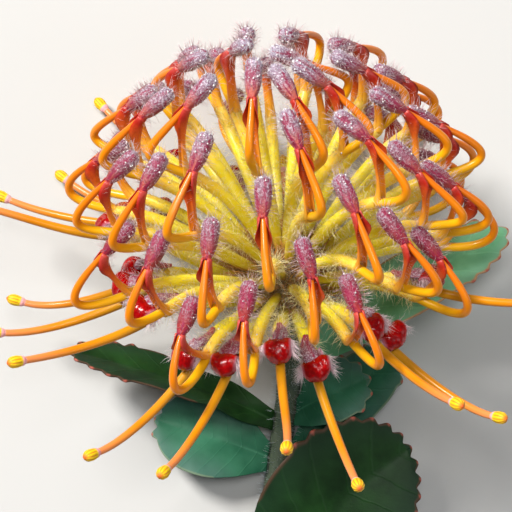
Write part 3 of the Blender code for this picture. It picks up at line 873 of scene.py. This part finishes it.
gold_hair = hair_finish("pale gold hair", (0.82, 0.68, 0.13), (0.95, 0.92, 0.66), 0.3)
tube_down.cast("perianth_tube_down", gold_hair)
tube_hair.cast("perianth_tube_hairs", gold_hair)

# Claws. Above the tube's mouth the petals part into narrow straps, orange then deep red, which bow over to
# the bud and close round the style at its neck. Three of the four are made: the fourth lies hidden under it.
STRAP_THICKNESS = 0.34
CLAW_SHARES = (0, 0.25, 0.5, 0.8, 1.0)
CLAW_RADII = (1.2, 0.95, 0.82, 1.05, 1.0)
CLAW_GAPES = (0.8, 0.7, 0.72, 0.95, 1.0)
CLAW_GATHERS = (1.45, 1.85, 2.05, 1.6, 1.45)
CLAW_FLARE = 1.3
FLARE_AT = 0.74
FLARE_RUN = 0.13
STRAP_POINTS = 7


def claw_finish():
    finish = Finish("petal claw", Roughness=0.34, Specular_IOR_Level=0.3, Coat_Weight=0.2, Coat_Roughness=0.2)
    streaks = finish.grain(0.6, 3.0)
    along = finish.mark("along")
    colour = (along - finish.mark("own") * 0.2).ramp(
        (0.0, (0.88, 0.48, 0.04)), (0.25, (0.86, 0.32, 0.025)), (0.5, (0.74, 0.12, 0.013)),
        (0.72, (0.44, 0.018, 0.009)), (0.95, (0.58, 0.08, 0.065)),
    )
    dark = streaks.step(0.4, 0.8) * along.step(0.35, 0.9)
    deep = (dark * 0.5).blend(colour, (0.32, 0.006, 0.004))
    finish.relief(streaks, 0.1)
    return finish.coat(Base_Color=deep)


def strap(line, across, middle, radius, spread, flare):
    """A strap of petal bent round a line. middle is the angle that it stands at, spread half its own."""
    up, side = square_to(line, across)
    v = np.linspace(-1, 1, STRAP_POINTS)
    v = np.concatenate([v, v[::-1]])
    face = np.repeat([0.5, -0.5], STRAP_POINTS) * (1 - 0.5 * np.abs(v) ** 4)
    turn = middle[:, None] + spread[:, None] * v
    edge = np.maximum(0, -v * np.sign(middle[:, None])) ** 3
    out = radius[:, None] + face * STRAP_THICKNESS + flare[:, None] * edge
    spoke = up[:, None] * np.cos(turn)[..., None] + side[:, None] * np.sin(turn)[..., None]
    return line[:, None] + spoke * out[..., None]


claws = Mould()
claw_hair = Mould(default_rng(43))
t = np.linspace(0, 1, CLAW_RINGS)
radius = np.interp(t, CLAW_SHARES, CLAW_RADII)
gape = np.interp(t, CLAW_SHARES, CLAW_GAPES)
gather = np.interp(t, CLAW_SHARES, CLAW_GATHERS)
flare = CLAW_FLARE * np.exp(-(((t - FLARE_AT) / FLARE_RUN) ** 2))
for floret in closed:
    own = claw_hair.chance.uniform(0, 1)
    for middle, wing in ((gather, flare), (-gather, flare), (np.full(CLAW_RINGS, pi), flare * 0)):
        rings = strap(floret.claw, floret.across, middle, radius, gape, wing)
        claws.loft(rings, own=own)
    claw_hair.hairs(rings, 70, (0, 1), length=(0.8, 2.4), width=0.07, lean=0.2, scatter=0.25, droop=0.3)
claws.cast("claws", claw_finish())
claw_hair.cast("claw_hairs", hair_finish("rosy hair", (0.7, 0.3, 0.26), (0.95, 0.82, 0.8)))

# Buds. The petals' ends stay closed over the pollen as a furred club 4 mm thick, mauve over red, and crimson
# where they are ripe. White hairs lie along it, thickest towards its blunt end, and longer ones stand out.
BUD_RADIUS = 1.9
BUD_SHARES = (0, 0.08, 0.2, 0.35, 0.6, 0.8, 0.9, 0.96, 1.0)
BUD_GIRTHS = (0.46, 0.54, 0.76, 0.93, 1.0, 0.97, 0.86, 0.6, 0.08)
BUD_STRETCH = 1.03
BUD_SUNK = 0.4
BUD_RINGS = 26
BUD_SIDES = 20
BUD_DOWN = ((0.1, 120, 70), (0.68, 260, 170))


def bud_line(floret, share):
    """Points along a bud's middle, from inside its neck to its end."""
    return floret.base + np.outer(share * BUD_LENGTH * BUD_STRETCH - BUD_SUNK, floret.bud_way)


def compass(count, sides):
    """Marks that tell a finish how far round each point of some rings stands."""
    turn = ring_angles(sides)
    return {"east": np.tile(np.cos(turn), count), "north": np.tile(np.sin(turn), count)}


def bud_finish():
    finish = Finish(
        "bud skin", Roughness=0.4, Specular_IOR_Level=0.35, Sheen_Weight=0.1, Sheen_Roughness=0.4
    )
    nap = finish.grain(0.4, 3.0)
    along = finish.mark("along")
    place = {0: finish.mark("east"), 1: finish.mark("north"), 2: along * 1.1 + finish.mark("own") * 40}
    around = finish.node("ShaderNodeCombineXYZ", {}, place)
    streaks = finish.node("ShaderNodeTexNoise", {}, {"Vector": around, "Scale": 2.1, "Detail": 3.0})
    young = along.ramp(
        (0.0, (0.58, 0.095, 0.065)), (0.2, (0.52, 0.15, 0.12)), (0.5, (0.3, 0.165, 0.23)),
        (1.0, (0.32, 0.27, 0.36)),
    )
    ripe = along.ramp(
        (0.0, (0.42, 0.03, 0.025)), (0.25, (0.28, 0.024, 0.03)), (0.6, (0.21, 0.024, 0.05)),
        (1.0, (0.25, 0.07, 0.12)),
    )
    age = finish.mark("ripe")
    colour = age.blend(young, ripe)
    wine = (streaks.step(0.47, 0.58) * 0.85).blend(colour, (0.26, 0.006, 0.05))
    # Pale flecks, most towards the bud's end and fewest on ripe buds, are painted glints.
    painted_glints = nap.step(0.5, 0.6) * along.step(0.15, 0.75) * streaks.step(0.7, 0.45)
    painted_glints = painted_glints * (1 - age * 0.7)
    finish.relief(nap, 0.3)
    return finish.coat(Base_Color=painted_glints.blend(wine, (0.66, 0.6, 0.68)))


chance = default_rng(47)
buds = Mould()
bud_down = Mould(chance)
bud_hair = Mould(chance)
bud_skin = bud_finish()
share = 1 - (1 - np.linspace(0, 1, BUD_RINGS)) ** 1.25
body = np.interp(share, BUD_SHARES, BUD_GIRTHS) * BUD_RADIUS
girth = np.outer(body, grooved(BUD_SIDES, grooves=4, depth=0.06, sharp=4))
for floret in closed:
    rings = rings_on(bud_line(floret, share), girth, floret.across, BUD_SIDES, flat=0.95)
    ripe = min(1, floret.angle / DOME_SIDE)
    own = chance.uniform(0, 1)
    buds.loft(rings, along=share, own=own, ripe=ripe, **compass(BUD_RINGS, BUD_SIDES))
    for first, hairs, shed in BUD_DOWN:
        count = int(hairs - shed * ripe)
        bud_down.hairs(
            rings, count, (first, 1), length=(0.35, 0.85), width=0.085, lift=0.45, lean=1, scatter=0.25
        )
    bud_hair.hairs(
        rings, 130, share=(0.05, 1), length=(1.2, 3.2), width=0.08,
        lean=0.15, toward=floret.outward * 0.35, scatter=0.2, droop=0.2,
    )
buds.cast("buds", bud_skin)
bud_down.cast("bud_down", hair_finish("silver hair", (0.4, 0.31, 0.46), (0.88, 0.86, 0.94), 0.2))
bud_hair.cast("bud_hairs", hair_finish("bud hair", (0.4, 0.12, 0.12), (0.84, 0.74, 0.78), 0.3))

# Bowed styles. Smooth waxy orange rods, just under 2 mm thick and yellower inside the tube, that bow out of
# the mouth and turn back into the neck of the bud, where they narrow.
BOW_SHARES = (0, 0.5, 0.8, 1.0)
BOW_GIRTHS = (1.06, 0.98, 0.86, 0.55)


def style_finish(name, coat, bloom, *stops):
    finish = Finish(name, Roughness=0.32, Specular_IOR_Level=0.25, Coat_Weight=coat, Coat_Roughness=0.12)
    colour = finish.mark("along").ramp(*stops)
    return finish.coat(Base_Color=(finish.grain(2.5) * 0.3).blend(colour, bloom))


def style_rods(florets, shares, girths, sides):
    """A rod along each floret's style, with its girth at some shares of the length."""
    rods = Mould()
    for floret in florets:
        radius = STYLE_RADIUS * np.interp(np.linspace(0, 1, len(floret.style)), shares, girths)
        rods.loft(rings_on(floret.style, radius, floret.across, sides))
    return rods


bow_wax = style_finish(
    "style wax", 0.2, (0.8, 0.27, 0.002), (0.0, (0.8, 0.5, 0.01)), (0.32, (0.82, 0.4, 0.004)),
    (0.55, (0.76, 0.23, 0.002)), (1.0, (0.7, 0.12, 0.004)),
)
style_rods(closed, BOW_SHARES, BOW_GIRTHS, sides=12).cast("bowed_styles", bow_wax)

# Freed styles. Once a floret opens its style springs straight and only curves up gently; it goes from yellow
# at the tube to orange and salmon at its end.
FREED_SHARES = (0, 0.3, 0.8, 1.0)
FREED_GIRTHS = (1.1, 1.05, 0.88, 0.8)
freed_wax = style_finish(
    "freed style wax", 0.15, (0.64, 0.26, 0.006), (0.0, (0.46, 0.27, 0.02)), (0.3, (0.58, 0.26, 0.006)),
    (0.65, (0.68, 0.21, 0.003)), (1.0, (0.84, 0.26, 0.1)),
)
style_rods(opened, FREED_SHARES, FREED_GIRTHS, sides=14).cast("freed_styles", freed_wax)

# Pollen presenters. The swollen tip of each freed style: a pink collar, then a ribbed yellow knob with an
# orange-red point, 4 mm long.
KNOB_RADIUS = 1.32
KNOB_SHARES = (0, 0.1, 0.16, 0.24, 0.3, 0.5, 0.7, 0.85, 0.95, 1.0)
KNOB_GIRTHS = (0.56, 0.62, 0.8, 0.82, 0.86, 1.0, 0.97, 0.74, 0.36, 0.05)
KNOB_SIDES = 40
RIB_SHARES = (0, 0.28, 0.4, 0.9, 1.0)
RIB_DEPTHS = (0, 0, 1, 1, 0)


def knob_finish():
    finish = Finish("pollen presenter", Roughness=0.5, Specular_IOR_Level=0.3)
    dust = finish.grain(0.35, 3.0)
    colour = finish.mark("along").ramp(
        (0.0, (0.92, 0.38, 0.22)), (0.12, (0.93, 0.42, 0.48)), (0.24, (0.9, 0.42, 0.46)),
        (0.32, (0.92, 0.66, 0.008)), (0.86, (0.9, 0.56, 0.008)), (0.95, (0.74, 0.18, 0.02)),
        (1.0, (0.72, 0.1, 0.02)),
    )
    finish.relief(dust, 0.12)
    dusted = (dust.step(0.5, 0.8) * 0.5).blend(colour, (0.9, 0.66, 0.03))
    return finish.coat(Base_Color=finish.mark("groove").blend(dusted, (0.66, 0.2, 0.015)))


knobs = Mould()
share = np.linspace(0, 1, KNOB_RINGS)
body = np.interp(share, KNOB_SHARES, KNOB_GIRTHS)[:, None] * KNOB_RADIUS
crest = np.abs(np.cos(5 * ring_angles(KNOB_SIDES)))
depth = np.interp(share, RIB_SHARES, RIB_DEPTHS)[:, None]
for floret in opened:
    rings = rings_on(floret.knob, body * (1 - depth * (0.09 * crest**3)), floret.across, KNOB_SIDES)
    knobs.loft(rings, along=share, groove=(depth * crest**6).ravel())
knobs.cast("pollen_presenters", knob_finish())

# Rolled petals. When a floret opens, its petals peel back from the tube's mouth and roll up tight: outside is
# their glossy cherry-red inner face, and at the sides their furred outer face with long white hairs. Their
# furred backs run from the mouth up to the roll.
ROLL_WIDTH = 5.9
ROLL_THICKNESS = 0.42
ROLL_TURNS = 1.6
ROLL_ROWS = 50
ROLL_COLUMNS = 23
ROLL_GLOSS = 0.25
ROLL_RUN_IN = 0.12
SIDE_HAIRS = 110
FOOT_HAIRS = 60
BACK_RUN = ((-8.8, -6.2, -4.6, -1.2), (-1.5, -0.6, 2.1, 2.2), (0, 1.0, 1.2, 0.3))
BACK_RINGS = 18
BACK_SIDES = 20
BACK_SHARES = (0, 0.3, 0.8, 1)
BACK_HALF = (0.7, 1.3, 2.2, 1.9)


def roll_finish():
    finish = Finish(
        "rolled petal", Roughness=0.22, Specular_IOR_Level=0.2, Coat_Weight=ROLL_GLOSS, Coat_Roughness=0.06
    )
    fur = finish.mark("fur")
    wrinkles = finish.grain(0.7, 3.0)
    red = wrinkles.step(0.35, 0.75).blend((0.24, 0.0, 0.001), (0.42, 0.001, 0.002))
    felt = wrinkles.blend((0.42, 0.07, 0.13), (0.72, 0.36, 0.44))
    finish.relief(wrinkles, 0.16)
    finish.coat(Roughness=fur * 0.5 + 0.2, Coat_Weight=ROLL_GLOSS - fur * ROLL_GLOSS)
    return finish.coat(Base_Color=fur.blend(red, felt))


def petal_roll(floret, chance):
    """Points over the inner and the furred face of a rolled strap of petal, from the tube to its heart."""
    turns = np.linspace(0, 1, ROLL_ROWS)
    wide = np.linspace(-1, 1, ROLL_COLUMNS)
    rolled = np.clip((turns - ROLL_RUN_IN) / (1 - ROLL_RUN_IN), 0, 1)
    run_in = np.clip(1 - turns / ROLL_RUN_IN, 0, 1)[:, None]
    turn = (-pi / 2 + 2 * pi * ROLL_TURNS * rolled)[:, None]
    skew = turn + chance.uniform(-0.5, 0.5) * wide
    radius = (CURL_RADIUS * 0.98 - 0.75 * ROLL_TURNS * rolled)[:, None]
    seams = np.abs(np.sin(1.5 * pi * (wide + 1))) ** 0.6
    lobes = 0.94 + 0.06 * seams + 0.05 * np.sin(turn * chance.integers(2, 5) + wide * chance.uniform(2, 5))
    taper = np.sqrt(1 - (wide * 0.84) ** 2) + chance.uniform(-0.12, 0.12) * wide
    half = ROLL_WIDTH / 2 * chance.uniform(0.86, 1.06) * (1 - 0.35 * run_in)
    tilt = chance.uniform(-0.35, 0.35)
    length_way = floret.across * cos(tilt) + floret.poleward * sin(tilt)
    faces = []
    for face in (0.5, -0.5):
        out = radius * taper * lobes + face * ROLL_THICKNESS * (1 - 0.4 * wide**4)
        outward = np.cos(skew) * out - 3.6 * run_in - 0.5 * wide**2
        poleward = np.sin(skew) * out + 0.7 + 0.6 * wide**2
        point = floret.curl_at + length_way * (wide * half)[..., None]
        faces.append(point + floret.outward * outward[..., None] + floret.poleward * poleward[..., None])
    return faces


chance = default_rng(53)
rolls = Mould()
backs = Mould()
roll_hair = Mould(chance)
edge = np.clip((np.abs(np.linspace(-1, 1, ROLL_COLUMNS)) - 0.88) * 9, 0, 1)
fur = np.tile(np.concatenate([edge, np.ones(ROLL_COLUMNS)]), ROLL_ROWS)
for floret in opened:
    red_face, fur_face = petal_roll(floret, chance)
    rolls.loft(np.concatenate([red_face, fur_face[:, ::-1]], axis=1), clockwise=True, fur=fur)
    for side in (0, -1):
        pick = chance.integers(0, ROLL_ROWS, SIDE_HAIRS)
        way = floret.across * (0.8 if side else -0.8) + floret.outward * 0.6 - floret.poleward * 0.8
        way = unit(way + chance.normal(0, 0.42, (SIDE_HAIRS, 3)))
        length = chance.uniform(1.2, 3.8, SIDE_HAIRS)
        roll_hair.bristles(fur_face[pick, side], way, length, width=0.095, droop=0.25)
    pick = chance.integers(0, 8, FOOT_HAIRS)
    way = unit(floret.poleward + chance.normal(0, 0.6, (FOOT_HAIRS, 3)))
    place = fur_face[pick, chance.integers(2, ROLL_COLUMNS - 2, FOOT_HAIRS)]
    length = chance.uniform(0.8, 2.2, FOOT_HAIRS)
    roll_hair.bristles(place, way, length, width=0.06, droop=0.25)

    sway = floret.across * chance.uniform(-1.8, 1.8)
    points = [
        floret.curl_at + floret.outward * out + floret.poleward * up + sway * share
        for out, up, share in zip(*BACK_RUN)
    ]
    line = curve(*points, BACK_RINGS)
    half = np.interp(np.linspace(0, 1, BACK_RINGS), BACK_SHARES, BACK_HALF) * chance.uniform(0.75, 1.0)
    girth = np.outer(half, grooved(BACK_SIDES, grooves=10, depth=0.08))
    back = rings_on(line, girth, floret.across, BACK_SIDES, flat=0.34)
    share = np.linspace(0.1, 0.8, BACK_RINGS)
    own, ripe = chance.uniform(0, 1), chance.uniform(0.2, 0.9)
    backs.loft(back, along=share, own=own, ripe=ripe, **compass(BACK_RINGS, BACK_SIDES))
    roll_hair.hairs(back, 120, (0.1, 1), length=(0.8, 2.4), width=0.07, lean=0.4, scatter=0.35, droop=0.25)
rolls.cast("rolled_petals", roll_finish())
backs.cast("rolled_petal_backs", bud_skin)
roll_hair.cast("rolled_petal_hairs", hair_finish("white hair", (0.74, 0.42, 0.5), (0.97, 0.93, 0.95), 0.25))

# Dew. Tiny drops of water from 0.2 to 0.6 mm across, which hang in the hairs of the tubes and the buds. Their
# milky white is a painted glint, in place of the sparkle of clear water. They are thickest on the ends of the
# young buds.
DEW_SIDES = 5
DEW_RINGS = 3
DEW_CAP = 0.35
DEW_ON_BUD = 40
DEW_ON_TUBE = 7
DEW_SMALLEST = 0.08
DEW_SPREAD = 0.2

# The drops are white and mostly opaque, so that each shows as a painted glint.
glinting_dew_skin = Finish("dew", Base_Color=(1, 1, 1), Roughness=0.12, Transmission_Weight=0.2, IOR=1.33)
dew = Mould()
chance = default_rng(59)
dew_places = []
for floret in closed:
    count = int(DEW_ON_BUD * (1 - 0.7 * min(1, floret.angle / DOME_SIDE)))
    share = 1 - chance.uniform(0, 0.7, count) ** 1.6
    girth = np.interp(share, BUD_SHARES, BUD_GIRTHS)[:, None] * BUD_RADIUS
    out = unit(np.cross(floret.bud_way, unit(chance.normal(size=(count, 3)))))
    dew_places.append(bud_line(floret, share) + out * girth)
for floret in closed + opened:
    pick = chance.integers(6, len(floret.tube), DEW_ON_TUBE)
    out = unit(chance.normal(size=(DEW_ON_TUBE, 3)) + [0, 0, 1])
    dew_places.append(floret.tube[pick] + out * CLOSED_TUBE_RADIUS)
turn = np.linspace(DEW_CAP, pi - DEW_CAP, DEW_RINGS)
for place in np.concatenate(dew_places):
    size = DEW_SMALLEST + DEW_SPREAD * chance.uniform(0, 1) ** 1.5
    line = place + np.outer(-np.cos(turn) * size, [0, 0, 1])
    dew.loft(rings_on(line, np.sin(turn) * size, [1, 0, 0], DEW_SIDES))
dew.cast("dew", glinting_dew_skin.material)
